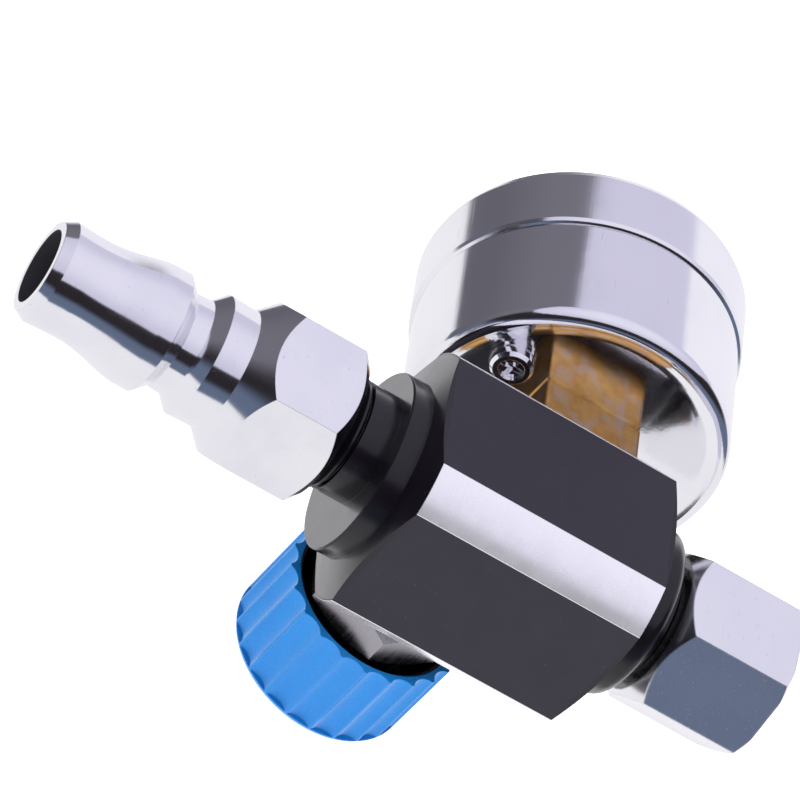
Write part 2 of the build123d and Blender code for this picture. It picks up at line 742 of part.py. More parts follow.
with BuildPart() as sector_gear:
    # At zero the first teeth of the sector are in mesh, and the rest swing in from there.
    towards_arbor = SECTOR_BEARING + 180
    half_tooth = 180 / SECTOR_TEETH
    with BuildSketch(across(sector_line, GEAR_LEVEL)) as sector:
        Polygon(
            (0, 0),
            *toothed_outline(sector_r, SECTOR_TEETH, range(-9, 2), towards_arbor + half_tooth),
            align=None,
        )
        Circle(1.3)
        with Locations(Rotation(0, 0, tail_bearing)):
            with Locations((TAIL_R / 2, 0)):
                SlotCenterToCenter(TAIL_R, 1.4)
    extrude(sector.sketch, amount=GEAR)
    tube(sector_line, ARBOR_BACK, UPPER_PLATE + PLATE, ARBOR_R, 0)
    tail_line = line_through((sector_place[0] + tail_place[0], sector_place[1] + tail_place[1]))
    tube(tail_line, GEAR_LEVEL + GEAR, LINK_LEVEL + LINK + 0.3, LINK_PIN_R, 0)

with BuildPart() as link_arm:
    # The end over the tube's lug is left free: the pivot there is the one left open.
    tail_end = Vector(*sector_place) + Vector(*tail_place)
    tip_end = Vector(*at_bearing(LUG_BEARING, TUBE_R - 0.9))
    link_middle = (tail_end + tip_end) / 2
    link_run = tip_end - tail_end
    with BuildSketch(across(GAUGE_LINE, LINK_LEVEL)) as link_outline:
        with Locations(Location(link_middle, (0, 0, degrees(atan2(link_run.Y, link_run.X))))):
            SlotCenterToCenter(link_run.length, 1.3)
        with Locations(tail_end, tip_end):
            Circle(LINK_PIN_R + RUNNING_GAP, mode=Mode.SUBTRACT)
    extrude(link_outline.sketch, amount=LINK)

with BuildPart() as bourdon_tube:
    for shrink, mode in ((0, Mode.ADD), (TUBE_WALL, Mode.SUBTRACT)):
        sweep_round(
            TUBE_ROOT + 10,
            TUBE_SWEEP,
            TUBE_MID - TUBE_WIDE / 2 + shrink,
            TUBE_MID + TUBE_WIDE / 2 - shrink,
            TUBE_R - TUBE_THICK / 2 + shrink,
            TUBE_R + TUBE_THICK / 2 - shrink,
            corner=0.7 - shrink,
            mode=mode,
        )

with BuildPart() as tube_tip:
    # Plug soldered into the tube's free end, with a lug under the link.
    sweep_round(
        TUBE_END,
        4,
        TUBE_MID - TUBE_WIDE / 2,
        TUBE_MID + TUBE_WIDE / 2,
        TUBE_R - TUBE_THICK / 2,
        TUBE_R + TUBE_THICK / 2,
    )
    sweep_round(TUBE_END + 4, 12, GEAR_LEVEL, GEAR_LEVEL + GEAR, TUBE_R - 1.6, TUBE_R + 0.2)

with BuildPart() as gauge_pointer:
    tube(GAUGE_LINE, POINTER_BACK, POINTER_FRONT, 1.2, ARBOR_R)
    with BuildSketch(across(GAUGE_LINE, POINTER_BACK + 0.3)) as blade:
        with Locations(Rotation(0, 0, POINTER_ZERO)):
            Polygon(
                (-4.5, -0.9),
                (0, -0.6),
                (POINTER_R, -0.12),
                (POINTER_R, 0.12),
                (0, 0.6),
                (-4.5, 0.9),
                align=None,
            )
        Circle(1.5)
        Circle(ARBOR_R, mode=Mode.SUBTRACT)
    extrude(blade.sketch, amount=0.3)

# ---------------------------------------------------------------- files

pieces = {
    "body": body,
    "inlet_plug": inlet_plug,
    "inlet_washer": inlet_washer,
    "outlet_nipple": outlet_nipple,
    "outlet_washer": outlet_washer,
    "outlet_nut": outlet_nut,
    "valve_seat": valve_seat,
    "seat_o_ring": seat_o_ring,
    "valve_poppet": valve_poppet,
    "poppet_seal": poppet_seal,
    "valve_spring": valve_spring,
    "piston": piston,
    "piston_o_ring": piston_o_ring,
    "main_spring": main_spring,
    "spring_seat": spring_seat,
    "bonnet": bonnet,
    "adjusting_screw": adjusting_screw,
    "knob_core": knob_core,
    "adjusting_knob": adjusting_knob,
    "knob_screw": knob_screw,
    "gauge_socket": gauge_socket,
    "gauge_case": gauge_case,
    "support_plate": support_plate,
    "case_screws": case_screws,
    "gauge_bezel": gauge_bezel,
    "gauge_lens": gauge_lens,
    "lens_gasket": lens_gasket,
    "gauge_dial": gauge_dial,
    "dial_screws": dial_screws,
    "stop_pin": stop_pin,
    "movement_plates": movement_plates,
    "dial_crossbar": dial_crossbar,
    "pointer_arbor": pointer_arbor,
    "sector_gear": sector_gear,
    "link_arm": link_arm,
    "bourdon_tube": bourdon_tube,
    "tube_tip": tube_tip,
    "gauge_pointer": gauge_pointer,
}
for name, piece in pieces.items():
    piece.part.label = name
    export_step(piece.part, f"parts/{name}.step")
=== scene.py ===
import json
from math import cos, radians, sin, tau

import bmesh
import bpy
from mathutils import Matrix, Vector


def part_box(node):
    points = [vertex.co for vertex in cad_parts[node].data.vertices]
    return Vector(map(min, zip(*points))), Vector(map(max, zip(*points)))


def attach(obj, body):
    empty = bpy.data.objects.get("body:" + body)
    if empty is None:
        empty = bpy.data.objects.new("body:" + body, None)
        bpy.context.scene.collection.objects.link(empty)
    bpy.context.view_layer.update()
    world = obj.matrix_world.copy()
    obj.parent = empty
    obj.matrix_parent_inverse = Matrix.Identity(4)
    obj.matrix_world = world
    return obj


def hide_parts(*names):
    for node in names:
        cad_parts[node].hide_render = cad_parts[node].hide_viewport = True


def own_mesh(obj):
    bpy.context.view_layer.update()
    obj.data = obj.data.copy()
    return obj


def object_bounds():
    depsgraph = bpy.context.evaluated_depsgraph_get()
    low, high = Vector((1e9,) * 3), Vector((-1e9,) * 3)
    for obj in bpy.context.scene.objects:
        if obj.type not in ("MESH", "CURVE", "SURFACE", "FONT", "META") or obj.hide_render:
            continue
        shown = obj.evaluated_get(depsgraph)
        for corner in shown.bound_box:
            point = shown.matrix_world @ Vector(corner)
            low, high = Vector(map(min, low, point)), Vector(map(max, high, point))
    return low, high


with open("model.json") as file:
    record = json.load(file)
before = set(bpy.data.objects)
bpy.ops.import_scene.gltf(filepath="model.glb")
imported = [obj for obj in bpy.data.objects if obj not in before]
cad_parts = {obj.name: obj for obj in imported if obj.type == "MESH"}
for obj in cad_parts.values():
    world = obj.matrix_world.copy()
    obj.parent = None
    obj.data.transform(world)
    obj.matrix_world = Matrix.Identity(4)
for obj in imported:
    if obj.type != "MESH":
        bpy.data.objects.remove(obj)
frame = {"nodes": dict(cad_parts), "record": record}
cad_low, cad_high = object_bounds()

# Looks for an inline air pressure regulator. Lengths are in metres, in the frame of the packed
# part: +X runs to the inlet plug, the gauge looks out along -Y and the knob hangs along -Z.

MM = 0.001


def middle(node):
    """The middle of a CAD node's box."""
    low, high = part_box(node)
    return (low + high) / 2


mounts = {mount["name"]: mount for mount in frame["record"]["mounts"]}
BODY_X = mounts["upper_flat"]["pos_m"][0]  # the middle of the body
INLET_Z = mounts["inlet_nose"]["pos_m"][2]
KNOB_X = middle("knob_core").x
GAUGE_X = middle("gauge_case").x
DIAL_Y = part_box("gauge_dial")[0].y  # the dial's printed face
CORNER_R = 15.0 * MM  # radius of the body's turned corners
STRIP_END = 14.25 * MM  # how far they run each way from the body's middle
PLUG_BORE_R = 4.25 * MM
SMOOTH_ANGLE = radians(35)  # faces that meet at more than this stay sharp


# ---------------------------------------------------------------- wiring of materials


class Graph:
    """A node tree while it is being wired: each method adds a node and returns its output."""

    def __init__(self, tree):
        self.tree = tree
        self.tree.nodes.clear()

    def node(self, kind, output, inputs=None, **settings):
        """Add a node, set it up, and fill or join its inputs."""
        made = self.tree.nodes.new(kind)
        for setting, value in settings.items():
            setattr(made, setting, value)
        for name, value in (inputs or {}).items():
            if isinstance(value, bpy.types.NodeSocket):
                self.tree.links.new(value, made.inputs[name])
            else:
                made.inputs[name].default_value = value
        return made.outputs[output]

    def math(self, operation, first, second=0.0):
        return self.node("ShaderNodeMath", 0, {0: first, 1: second}, operation=operation)

    def split(self, vector):
        """The X, Y and Z of a vector."""
        x = self.node("ShaderNodeSeparateXYZ", "X", {0: vector})
        return x, x.node.outputs["Y"], x.node.outputs["Z"]

    def join(self, x, y, z):
        return self.node("ShaderNodeCombineXYZ", 0, {0: x, 1: y, 2: z})

    def length(self, vector):
        return self.node("ShaderNodeVectorMath", "Value", {0: vector}, operation="LENGTH")

    def step(self, value, low, high, to_low=0.0, to_high=1.0):
        """A smooth step from to_low at low to to_high at high."""
        return self.node(
            "ShaderNodeMapRange",
            0,
            {0: value, 1: low, 2: high, 3: to_low, 4: to_high},
            interpolation_type="SMOOTHSTEP",
        )

    def mix(self, share, first, second):
        """Blend two colours."""
        made = self.tree.nodes.new("ShaderNodeMix")
        made.data_type = "RGBA"
        for index, value in ((0, share), (6, first), (7, second)):
            if isinstance(value, bpy.types.NodeSocket):
                self.tree.links.new(value, made.inputs[index])
            elif index == 0:
                made.inputs[index].default_value = value
            else:
                made.inputs[index].default_value = (*value, 1.0)
        return made.outputs[2]


class Look(Graph):
    """A surface material, measured in the part's own frame."""

    def __init__(self, name):
        self.material = bpy.data.materials.new(name)
        self.material.use_nodes = True
        super().__init__(self.material.node_tree)
        self.place = self.node("ShaderNodeTexCoord", "Object")

    def stretched(self, x, y, z):
        """The place, stretched along the axes, so that a pattern on it runs in lines."""
        return self.node(
            "ShaderNodeVectorMath", 0, {0: self.place, 1: (1 / x, 1 / y, 1 / z)}, operation="MULTIPLY"
        )

    def noise(self, size, detail=2.0, place=None, roughness=0.5):
        """Cloudy noise from 0 to 1 with blobs of about this size in millimetres."""
        return self.node(
            "ShaderNodeTexNoise",
            0,
            {
                "Vector": place or self.place,
                "Scale": 1 / (size * MM),
                "Detail": detail,
                "Roughness": roughness,
            },
        )

    def scratches(self, size, length, direction, amount):
        """Thin lines along a direction, as a mask: amount runs from 0 for none to 1 for all over."""
        turned = self.node(
            "ShaderNodeMapping",
            0,
            {"Vector": self.place, "Rotation": direction, "Scale": (1.0, 1 / length, 1.0)},
        )
        lines = self.noise(size, 3.0, turned, 0.6)
        return self.step(lines, 0.74 - 0.2 * amount, 0.80 - 0.2 * amount)

    def rounded(self, radius):
        """The normal, as if edges were broken to this radius in millimetres."""
        return self.node("ShaderNodeBevel", 0, {"Radius": radius * MM}, samples=4)

    def bump(self, height, depth, normal):
        """Raise the surface by height times a depth in millimetres."""
        return self.node(
            "ShaderNodeBump",
            0,
            {"Height": height, "Distance": depth * MM, "Strength": 1.0, "Normal": normal},
        )

    def finish(self, colour, roughness, normal, metallic=0.0, **more):
        """Join everything to one shader and return the material."""
        if isinstance(colour, tuple):
            colour = (*colour, 1.0)
        inputs = {
            "Base Color": colour,
            "Roughness": roughness,
            "Metallic": metallic,
            "Normal": normal,
        }
        inputs.update({name.replace("_", " "): value for name, value in more.items()})
        return self.show(self.node("ShaderNodeBsdfPrincipled", 0, inputs))

    def show(self, shader):
        output = self.tree.nodes.new("ShaderNodeOutputMaterial")
        self.tree.links.new(shader, output.inputs[0])
        return self.material


# ---------------------------------------------------------------- surface materials

MILLED = (radians(20), radians(35), 0)  # directions that hairlines run in
HANDLED = (radians(70), radians(-25), radians(50))


def anodised_aluminium():
    """Black anodised bar: its flats are satin and its turned ends glossy. Its four turned corners are
    painted near-white and part metal, a painted highlight for the light from above that lies along them."""
    look = Look("anodised_aluminium")
    x, y, z = look.split(look.place)
    radius = look.length(look.join(0.0, y, z))
    corner = look.step(radius, CORNER_R - 0.06 * MM, CORNER_R - 0.03 * MM)
    from_middle = look.math("ABSOLUTE", look.math("SUBTRACT", x, BODY_X))
    ends = look.step(from_middle, STRIP_END + 0.02 * MM, STRIP_END + 0.06 * MM)
    black = look.mix(look.noise(4.0), (0.008, 0.006, 0.014), (0.012, 0.009, 0.020))
    black = look.mix(ends, black, (0.006, 0.005, 0.008))
    specks = look.step(look.noise(0.35, 1.0), 0.77, 0.80, 0.0, 0.4)
    black = look.mix(specks, black, (0.09, 0.09, 0.11))
    tool_lines = look.noise(0.14, 1.0, look.stretched(1.0, 60.0, 60.0))
    # Painted highlight: the turned corners are coloured near-white, with the tool lines in it, standing
    # in for the light that lies along them.
    corner_highlight = look.mix(tool_lines, (0.93, 0.92, 0.97), (0.99, 0.98, 1.0))
    colour = look.mix(corner, black, corner_highlight)
    roughness = look.step(look.noise(2.2, 4.0), 0.3, 0.7, 0.33, 0.41)
    roughness = look.math("SUBTRACT", roughness, look.math("MULTIPLY", ends, 0.15))
    roughness = look.math("SUBTRACT", roughness, look.math("MULTIPLY", corner, 0.10))
    blasting = look.math("MULTIPLY", look.noise(0.12, 2.0), look.step(corner, 0.0, 1.0, 1.0, 0.0))
    normal = look.bump(blasting, 0.0015, look.rounded(0.07))
    normal = look.bump(look.math("MULTIPLY", tool_lines, ends), 0.0015, normal)
    slant = look.node("ShaderNodeLayerWeight", "Facing", {"Blend": 0.5})
    glancing = look.step(look.math("MULTIPLY", slant, ends), 0.50, 0.72, 1.45, 2.9)
    return look.finish(colour, roughness, normal, look.math("MULTIPLY", corner, 0.7), IOR=glancing)


def chrome(name="chrome", mirror=0.05, ripple=0.006, hairlines=0.3, edge=0.08, drawn=0.0):
    """Nickel and chrome plate with hairlines, smears and the faint ripple of polished metal.
    Mirror is the least roughness. Ripple, edge and drawn are millimetres: the depth of the ripple,
    the rounding of the edges, and the depth of the lines that deep drawing leaves on the gauge."""
    look = Look(name)
    smears = look.step(look.noise(9.0, 3.0), 0.30, 0.80)
    lines = look.scratches(0.25, 30.0, MILLED, hairlines)
    crossed = look.scratches(0.30, 22.0, HANDLED, hairlines)
    worn = look.math("MAXIMUM", lines, crossed)
    colour = look.mix(smears, (0.89, 0.89, 0.91), (0.85, 0.85, 0.88))
    colour = look.mix(look.math("MULTIPLY", worn, 0.35), colour, (0.60, 0.60, 0.64))
    roughness = look.step(smears, 0.0, 1.0, mirror, mirror + 0.04)
    roughness = look.math("ADD", roughness, look.math("MULTIPLY", worn, 0.12))
    normal = look.rounded(edge)
    normal = look.bump(look.noise(3.5, 1.0), ripple, normal)
    normal = look.bump(worn, -0.0015, normal)
    draw_lines = look.noise(0.45, 3.0, look.stretched(1.0, 25.0, 1.0))
    normal = look.bump(draw_lines, drawn, normal)
    return look.finish(colour, roughness, normal, 1.0)


def plug_chrome():
    """The plug: turned and plated outside. Down its bore the colour is painted near-black, a painted
    shade for the dark hole, and the bore is rougher and less metallic, as unplated metal.
    """
    look = Look("plug_chrome")
    x, y, z = look.split(look.place)
    from_axis = look.length(look.join(0.0, y, look.math("SUBTRACT", z, INLET_Z)))
    shaded_bore = look.step(from_axis, PLUG_BORE_R + 0.03 * MM, PLUG_BORE_R + 0.08 * MM, 1.0, 0.0)
    smears = look.step(look.noise(7.0, 3.0), 0.30, 0.80)
    tool_lines = look.noise(0.22, 2.0, look.stretched(1.0, 50.0, 50.0))
    lines = look.scratches(0.22, 26.0, MILLED, 0.45)
    colour = look.mix(smears, (0.87, 0.87, 0.89), (0.82, 0.82, 0.86))
    colour = look.mix(look.math("MULTIPLY", lines, 0.4), colour, (0.55, 0.55, 0.60))
    # Painted shade: the bore's colour is near-black where the hole lies in shade.
    colour = look.mix(shaded_bore, colour, (0.045, 0.042, 0.050))
    roughness = look.step(smears, 0.0, 1.0, 0.10, 0.14)
    roughness = look.math("ADD", roughness, look.math("MULTIPLY", lines, 0.12))
    roughness = look.math("ADD", roughness, look.math("MULTIPLY", shaded_bore, 0.5))
    normal = look.rounded(0.12)
    normal = look.bump(look.noise(2.5, 1.0), 0.006, normal)
    normal = look.bump(tool_lines, 0.0015, normal)
    metallic = look.step(shaded_bore, 0.0, 1.0, 1.0, 0.3)
    return look.finish(colour, roughness, normal, metallic)


def steel(name="steel", dark=(0.50, 0.50, 0.52), light=(0.68, 0.68, 0.70)):
    """Zinc plated turned steel."""
    look = Look(name)
    grain = look.noise(0.3, 3.0, look.stretched(1.0, 1.0, 12.0))
    colour = look.mix(grain, dark, light)
    roughness = look.step(grain, 0.2, 0.8, 0.24, 0.38)
    normal = look.bump(grain, 0.002, look.rounded(0.06))
    return look.finish(colour, roughness, normal, 1.0)


def brass(name="brass", fresh=(0.82, 0.48, 0.16), tarnished=(0.66, 0.34, 0.09)):
    """Raw brass, sawn and milled, with brown and grey patches of tarnish."""
    look = Look(name)
    blotches = look.step(look.noise(2.6, 4.0, None, 0.55), 0.35, 0.70)
    stains = look.step(look.noise(1.9, 3.0, look.stretched(1.0, 1.6, 1.0), 0.5), 0.50, 0.66)
    saw_marks = look.noise(0.30, 2.0, look.stretched(9.0, 1.0, 9.0))
    colour = look.mix(blotches, fresh, tarnished)
    colour = look.mix(look.math("MULTIPLY", stains, 0.55), colour, (0.66, 0.52, 0.46))
    colour = look.mix(look.step(saw_marks, 0.5, 0.8, 0.0, 0.25), colour, (0.92, 0.68, 0.34))
    roughness = look.step(blotches, 0.0, 1.0, 0.30, 0.42)
    normal = look.bump(saw_marks, 0.004, look.rounded(0.15))
    normal = look.bump(look.noise(0.35, 4.0), 0.004, normal)
    return look.finish(colour, roughness, normal, 1.0)


def moulded(name, colour, deep, roughness, grain):
    """Moulded plastic with flow marks, fine grain and scuffs on its edges."""
    look = Look(name)
    flow = look.noise(5.0, 3.0)
    tint = look.mix(flow, colour, deep)
    scuffs = look.scratches(0.22, 12.0, HANDLED, 0.25)
    tint = look.mix(look.math("MULTIPLY", scuffs, 0.08), tint, tuple(0.5 + 0.5 * c for c in colour))
    finish = look.step(look.noise(1.2, 4.0), 0.3, 0.7, roughness - 0.05, roughness + 0.05)
    finish = look.math("ADD", finish, look.math("MULTIPLY", scuffs, 0.08))
    normal = look.bump(look.noise(0.18, 2.0), grain, look.rounded(0.16))
    normal = look.bump(flow, 0.006, normal)
    return look.finish(tint, finish, normal)


def black_rubber():
    """Nitrile rubber with a dusty bloom."""
    look = Look("black_rubber")
    bloom = look.step(look.noise(0.8, 4.0), 0.4, 0.7)
    colour = look.mix(bloom, (0.008, 0.008, 0.008), (0.030, 0.030, 0.032))
    roughness = look.step(bloom, 0.0, 1.0, 0.45, 0.70)
    return look.finish(colour, roughness, look.bump(look.noise(0.2, 3.0), 0.004, look.rounded(0.1)))


def enamel(name, colour, aged, roughness):
    """Stoved enamel on thin sheet, with faint orange peel."""
    look = Look(name)
    tint = look.mix(look.step(look.noise(6.0, 4.0), 0.35, 0.75), colour, aged)
    finish = look.step(look.noise(1.5, 3.0), 0.3, 0.7, roughness - 0.06, roughness + 0.06)
    return look.finish(tint, finish, look.bump(look.noise(0.5, 2.0), 0.003, look.rounded(0.05)))


def clear_plastic():
    """Thin clear window: see-through, mirroring more at a slant, with a few smears."""
    look = Look("clear_plastic")
    smears = look.step(look.noise(6.0, 4.0), 0.45, 0.75)
    lines = look.scratches(0.2, 30.0, HANDLED, 0.2)
    roughness = look.step(smears, 0.0, 1.0, 0.02, 0.10)
    normal = look.bump(lines, -0.001, look.rounded(0.05))
    clear = look.node("ShaderNodeBsdfTransparent", 0, {0: (0.99, 0.99, 0.99, 1.0)})
    gloss = look.node(
        "ShaderNodeBsdfGlossy", 0, {"Color": (1, 1, 1, 1), "Roughness": roughness, "Normal": normal}
    )
    slant = look.node("ShaderNodeLayerWeight", "Facing", {"Blend": 0.5, "Normal": normal})
    mirrored = look.math("ADD", look.math("POWER", slant, 4.0), 0.03)
    mirrored = look.math("ADD", mirrored, look.math("MULTIPLY", lines, 0.06))
    return look.show(look.node("ShaderNodeMixShader", 0, {0: mirrored, 1: clear, 2: gloss}))


looks = {
    "anodised_aluminium": anodised_aluminium(),
    "chrome": chrome(),
    "steel": steel(),
    "brass": brass(),
    "bronze": brass("bronze", (0.66, 0.38, 0.20), (0.48, 0.25, 0.13)),
    "blue_plastic": moulded("blue_plastic", (0.010, 0.26, 0.70), (0.006, 0.21, 0.62), 0.26, 0.003),
    "black_plastic": moulded("black_plastic", (0.006, 0.006, 0.007), (0.004, 0.004, 0.004), 0.50, 0.006),
    "nylon": moulded("nylon", (0.78, 0.75, 0.66), (0.70, 0.66, 0.56), 0.45, 0.006),
    "black_rubber": black_rubber(),
    "dial_white": enamel("dial_white", (0.94, 0.94, 0.92), (0.89, 0.88, 0.85), 0.40),
    "pointer_black": enamel("pointer_black", (0.012, 0.012, 0.013), (0.020, 0.020, 0.021), 0.35),
    "clear_plastic": clear_plastic(),
}
special_looks = {
    "inlet_plug": plug_chrome(),
    "outlet_nut": chrome("nut_chrome", mirror=0.15, ripple=0.005, hairlines=0.4, edge=0.30),
    "gauge_case": chrome("case_chrome", mirror=0.09, drawn=0.004),
    "gauge_bezel": chrome("bezel_chrome", mirror=0.12, drawn=0.004),
    # The bonnet's steel is painted darker than the other steel: painted shade for the shaded place it
    # sits in under the body.
    "bonnet": steel("bonnet_shaded_steel", (0.34, 0.33, 0.36), (0.48, 0.46, 0.49)),
}


def paint(piece, look):
    """Put a material on every slot of a piece."""
    if not piece.material_slots:
        piece.data.materials.append(look)
    for place in piece.material_slots:
        place.material = look


for part in frame["record"]["subparts"]:
    name = part["node"]
    paint(frame["nodes"][name], special_looks.get(name, looks[part["material_slot"]]))


# The knob is left out of mirrors, so that no blue glints show in the plated parts round it.
frame["nodes"]["adjusting_knob"].visible_glossy = False


# ---------------------------------------------------------------- detail pieces


def finish_piece(name, mesh, body, slot):
    """Turn a bmesh into a smooth-shaded piece that rides on a body."""
    bmesh.ops.recalc_face_normals(mesh, faces=mesh.faces)
    data = bpy.data.meshes.new(name)
    mesh.to_mesh(data)
    mesh.free()
    data.shade_smooth()
    data.set_sharp_from_angle(angle=SMOOTH_ANGLE)
    data.materials.append(looks[slot])
    piece = bpy.data.objects.new(name, data)
    bpy.context.scene.collection.objects.link(piece)
    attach(piece, body)
    return piece


def wind(mesh, foot, axis, side, steps, outline):
    """Sweep a closed outline of (outward, along) points round an axis. Each step is an angle, an
    advance along the axis, a radius and a size for the outline."""
    across = axis.cross(side)
    rings = []
    for angle, advance, radius, size in steps:
        outward = side * cos(angle) + across * sin(angle)
        ring = [
            mesh.verts.new(foot + outward * (radius + out * size) + axis * (advance + along * size))
            for out, along in outline
        ]
        rings.append(ring)
    for ring, following in zip(rings, rings[1:]):
        for index in range(len(ring)):
            before = index - 1
            mesh.faces.new((ring[before], ring[index], following[index], following[before]))
    mesh.faces.new(rings[0])
    mesh.faces.new(reversed(rings[-1]))


def make_spring(name, body, fixed_end, moving_end, radius, wire, turns):
    """A compression spring on the knob's axis with closed ends, wound from its fixed end to its moving
    end.
    """
    mesh = bmesh.new()
    sides = 10  # of the wire's section
    steps_a_turn = 28
    outline = [(wire * cos(tau * i / sides), wire * sin(tau * i / sides)) for i in range(sides)]
    direction = 1 if moving_end > fixed_end else -1
    length = abs(moving_end - fixed_end)
    closed = 2 * wire / (length - 2 * wire)  # share of the rise that each closed end takes
    count = steps_a_turn * turns
    steps = []
    for i in range(count + 1):
        done = turns * i / count
        if done < 1:
            rise = closed * done
        elif done > turns - 1:
            rise = 1 - closed * (turns - done)
        else:
            rise = closed + (1 - 2 * closed) * (done - 1) / (turns - 2)
        steps.append((tau * done, wire + (length - 2 * wire) * rise, radius, 1.0))
    foot = Vector((KNOB_X, 0, fixed_end))
    wind(mesh, foot, Vector((0, 0, direction)), Vector((1, 0, 0)), steps, outline)
    spring = finish_piece(name, mesh, body, "steel")
    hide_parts(name.replace("_wire", ""))
    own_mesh(spring)


main_low, main_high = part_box("main_spring")
valve_low, valve_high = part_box("valve_spring")
make_spring(
    "main_spring_wire",
    "regulator_body",
    fixed_end=main_high.z,
    moving_end=main_low.z,
    radius=4.1 * MM,
    wire=0.6 * MM,
    turns=6,
)
make_spring(
    "valve_spring_wire",
    "regulator_body",
    fixed_end=valve_high.z,
    moving_end=valve_low.z,
    radius=2.5 * MM,
    wire=0.2 * MM,
    turns=8,
)


def make_nut_thread():
    """The pipe thread inside the swivel nut, whose mount is the middle of the thread. Its ridge
    starts inside the nut's wall, and shrinks away over a third of a turn at each end."""
    mount = mounts["outlet_thread"]
    length = mount["dims"]["length_mm"] * MM
    wall = mount["dims"]["r_mm"] * MM
    threads_an_inch = 19
    pitch = 25.4 / threads_an_inch * MM
    height = 0.38 * MM
    sunk = 0.05 * MM
    half_root = 0.45 * pitch
    half_crest = 0.10 * pitch
    outline = [(sunk, -half_root), (-height, -half_crest), (-height, half_crest), (sunk, half_root)]
    turns = length / pitch - 1
    run_outs_a_turn = 3
    least = 0.08  # of the ridge's size, at its very ends
    steps_a_turn = 48
    count = int(steps_a_turn * turns)
    steps = []
    for i in range(count + 1):
        share = i / count
        to_end = min(share, 1 - share) * turns
        size = least + (1 - least) * min(1.0, run_outs_a_turn * to_end)
        advance = pitch * (0.5 + share * turns) - length / 2
        steps.append((tau * turns * share, advance, wall, size))
    mesh = bmesh.new()
    foot = Vector(mount["pos_m"])
    wind(mesh, foot, Vector((1, 0, 0)), Vector((0, 0, 1)), steps, outline)
    finish_piece("outlet_nut_thread", mesh, "swivel_nut", "chrome")


make_nut_thread()

INK = 0.03 * MM  # how thick the dial's print stands
DIAL_ZERO = radians(135)  # bearing of 0, from upright towards the left as the dial is read
DIAL_SWEEP = radians(270)
LAST_NUMBER = 10
TICKS_A_NUMBER = 5
SCALE_INNER = 15.35 * MM  # radii of the ring that joins the ticks
SCALE_OUTER = 15.55 * MM
TICK_OUTER = 15.45 * MM
LONG_TICK = 13.6 * MM  # inner radii of the ticks
SHORT_TICK = 14.5 * MM
LONG_TICK_HALF = 0.016  # half the ticks' widths, in radians
SHORT_TICK_HALF = 0.008
NUMBER_R = 11.6 * MM
NUMBER_SIZE = 2.9 * MM


def dial_place(bearing, radius):
    """A place on the dial as (X, Z)."""
    return GAUGE_X - radius * sin(bearing), radius * cos(bearing)


def print_shape(mesh, outline):
    """Print a closed outline of (X, Z) places on the dial."""
    front = [mesh.verts.new((x, DIAL_Y - INK, z)) for x, z in outline]
    back = [mesh.verts.new((x, DIAL_Y + INK, z)) for x, z in outline]
    mesh.faces.new(front)
    mesh.faces.new(reversed(back))
    for index in range(len(outline)):
        before = index - 1
        mesh.faces.new((front[before], back[before], back[index], front[index]))


def print_arc(mesh, start, sweep, inner, outer, parts=72):
    """Print part of a ring from one bearing round to another."""
    bearings = [start - sweep * i / parts for i in range(parts + 1)]
    outline = [dial_place(bearing, outer) for bearing in bearings]
    outline += [dial_place(bearing, inner) for bearing in reversed(bearings)]
    print_shape(mesh, outline)


def print_number(mesh, value, bearing, radius, size):
    """Print a number upright on the dial, centred on a place."""
    data = bpy.data.curves.new("number", "FONT")
    data.body = str(value)
    data.size = size
    data.extrude = INK
    data.align_x = "CENTER"
    data.align_y = "CENTER"
    writing = bpy.data.objects.new("number", data)
    x, z = dial_place(bearing, radius)
    upright = Matrix.Rotation(radians(90), 4, "X")
    shapes = bpy.data.meshes.new_from_object(writing)
    shapes.transform(Matrix.Translation((x, DIAL_Y, z)) @ upright)
    mesh.from_mesh(shapes)
    bpy.data.meshes.remove(shapes)
    bpy.data.objects.remove(writing)


def make_dial_print():
    """A scale from 0 to 10, read clockwise, with a long tick at each number."""
    mesh = bmesh.new()
    print_arc(mesh, DIAL_ZERO, DIAL_SWEEP, SCALE_INNER, SCALE_OUTER)
    last_tick = LAST_NUMBER * TICKS_A_NUMBER
    for tick in range(last_tick + 1):
        bearing = DIAL_ZERO - DIAL_SWEEP * tick / last_tick
        numbered = tick % TICKS_A_NUMBER == 0
        inner = LONG_TICK if numbered else SHORT_TICK
        half = LONG_TICK_HALF if numbered else SHORT_TICK_HALF
        print_arc(mesh, bearing + half, 2 * half, inner, TICK_OUTER, 1)
        if numbered:
            print_number(mesh, tick // TICKS_A_NUMBER, bearing, NUMBER_R, NUMBER_SIZE)
    bmesh.ops.remove_doubles(mesh, verts=mesh.verts, dist=0.001 * MM)
    finish_piece("dial_print", mesh, "regulator_body", "pointer_black")


make_dial_print()


# ---------------------------------------------------------------- stage, light and camera


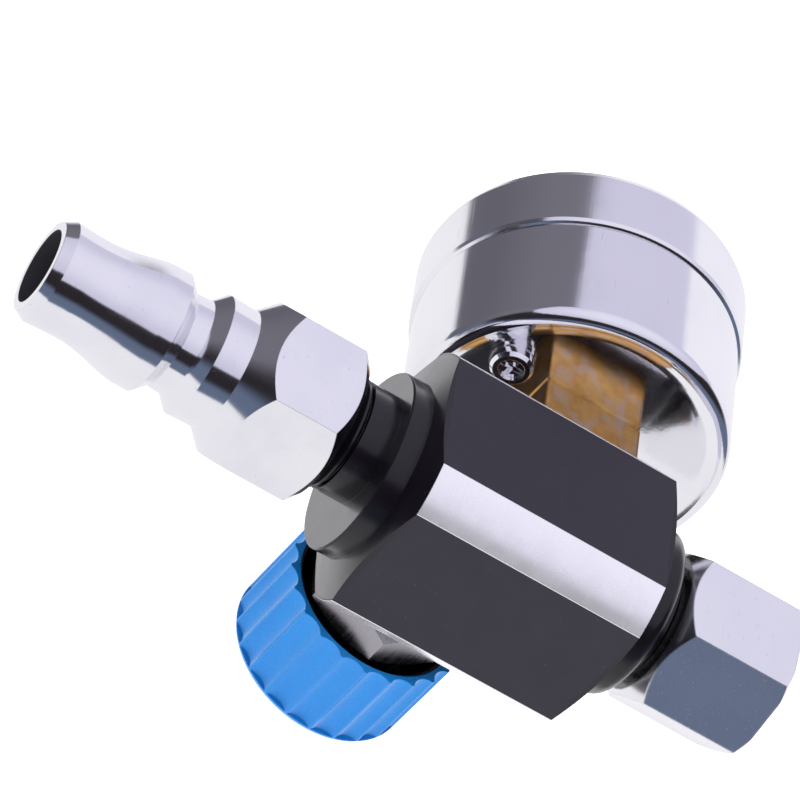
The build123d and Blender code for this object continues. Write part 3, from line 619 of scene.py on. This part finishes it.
class Surround(Graph):
    """What the object stands in: white to the eye and for soft light, and for mirrors a studio
    with a white table, dark walls, one white screen and a pale ceiling."""

    NEAR_TABLE_EDGE = -0.26  # sines of elevation, on the camera's side and on the far side
    FAR_TABLE_EDGE = -0.36
    CEILING_EDGE = 0.57
    SCREEN_TOP = 0.42
    SOFT = 0.03  # how softly the table and the ceiling end
    TOWARDS_SCREEN = (-0.68, -0.73, 0.0)
    SCREEN = (0.93, 0.92, 1.0)
    TABLE = (0.93, 0.92, 0.96)
    SOFT_LIGHT = (1.05, 1.04, 1.08)  # what lights the object's matt surfaces
    WHITE = (1.0, 1.0, 1.0)

    def __init__(self, tree):
        super().__init__(tree)
        direction = self.node("ShaderNodeTexCoord", "Generated")
        x, y, z = self.split(direction)
        nearness = self.step(y, -0.2, 0.2)
        far_wall = self.mix(self.step(z, -0.1, 0.4), (0.135, 0.13, 0.16), (0.17, 0.165, 0.20))
        near_wall = self.mix(self.step(z, 0.0, 0.22), (0.125, 0.160, 0.250), (0.020, 0.016, 0.020))
        walls = self.mix(nearness, far_wall, near_wall)
        level = self.node("ShaderNodeVectorMath", 0, {0: self.join(x, y, 0.0)}, operation="NORMALIZE")
        towards_screen = self.node(
            "ShaderNodeVectorMath", "Value", {0: level, 1: self.TOWARDS_SCREEN}, operation="DOT_PRODUCT"
        )
        walls = self.mix(self.step(towards_screen, 0.65, 0.82), walls, self.SCREEN)
        ceiling = self.mix(self.step(z, 0.6, 1.0), (0.66, 0.64, 0.80), (0.84, 0.82, 0.96))
        ceiling_edge = self.step(towards_screen, 0.55, 0.90, self.CEILING_EDGE, self.SCREEN_TOP)
        above_edge = self.math("SUBTRACT", z, ceiling_edge)
        upper = self.mix(self.step(above_edge, -self.SOFT / 2, self.SOFT / 2), walls, ceiling)
        edge = self.step(nearness, 0.0, 1.0, self.FAR_TABLE_EDGE, self.NEAR_TABLE_EDGE)
        above_table = self.step(self.math("SUBTRACT", z, edge), -self.SOFT, self.SOFT)
        mirrored = self.mix(above_table, self.TABLE, upper)
        rays = self.tree.nodes.new("ShaderNodeLightPath")
        seen = self.mix(rays.outputs["Is Camera Ray"], self.SOFT_LIGHT, self.WHITE)
        colour = self.mix(rays.outputs["Is Glossy Ray"], seen, mirrored)
        background = self.node("ShaderNodeBackground", 0, {0: colour, 1: 1.0})
        output = self.tree.nodes.new("ShaderNodeOutputWorld")
        self.tree.links.new(background, output.inputs[0])


world = bpy.data.worlds.new("studio")
world.use_nodes = True
Surround(world.node_tree)
bpy.context.scene.world = world


def floor_look():
    """A lit white table: pale everywhere, with only a breath of shadow under the object."""
    look = Look("floor")
    mottle = look.mix(look.noise(60.0, 3.0), (0.80, 0.80, 0.80), (0.84, 0.84, 0.84))
    diffuse = look.node("ShaderNodeBsdfDiffuse", 0, {0: mottle})
    glow = look.node("ShaderNodeEmission", 0, {0: (1.0, 1.0, 1.0, 1.0), 1: 0.80})
    return look.show(look.node("ShaderNodeAddShader", 0, {0: diffuse, 1: glow}))


def make_floor():
    """A wide floor just under the lowest point, kept out of mirrors, which see the surround."""
    half = 3.0
    gap = 0.05 * MM
    mesh = bpy.data.meshes.new("floor")
    level = cad_low.z - gap
    corners = [(-half, -half, level), (half, -half, level), (half, half, level), (-half, half, level)]
    mesh.from_pydata(corners, [], [(0, 1, 2, 3)])
    mesh.materials.append(floor_look())
    floor = bpy.data.objects.new("floor", mesh)
    bpy.context.scene.collection.objects.link(floor)
    floor.visible_glossy = False


make_floor()

# The photograph's camera looks down on the body's upper corner, rolled to one side.
AIM = Vector((BODY_X, 0, 0)) + Vector((15.6, -8.9, 2.7)) * MM
TOWARDS_CAMERA = Vector((0.308, 0.729, 0.612)).normalized()
CAMERA_UP = Vector((0.468, -0.676, 0.570))
CAMERA_DISTANCE = 525 * MM
LENS = 218.5  # in millimetres, with the sensor
SENSOR_WIDTH = 36


def make_camera():
    """A long lens, aimed along TOWARDS_CAMERA with CAMERA_UP upright in the picture."""
    right = CAMERA_UP.cross(TOWARDS_CAMERA).normalized()
    up = TOWARDS_CAMERA.cross(right)
    data = bpy.data.cameras.new("camera")
    data.lens = LENS
    data.sensor_width = SENSOR_WIDTH
    data.clip_start = 10 * MM
    data.clip_end = 20
    camera = bpy.data.objects.new("camera", data)
    turn = Matrix((right, up, TOWARDS_CAMERA)).transposed()
    camera.matrix_world = Matrix.Translation(AIM + TOWARDS_CAMERA * CAMERA_DISTANCE) @ turn.to_4x4()
    bpy.context.scene.collection.objects.link(camera)
    bpy.context.scene.camera = camera


make_camera()
bpy.context.scene.view_settings.view_transform = "Standard"
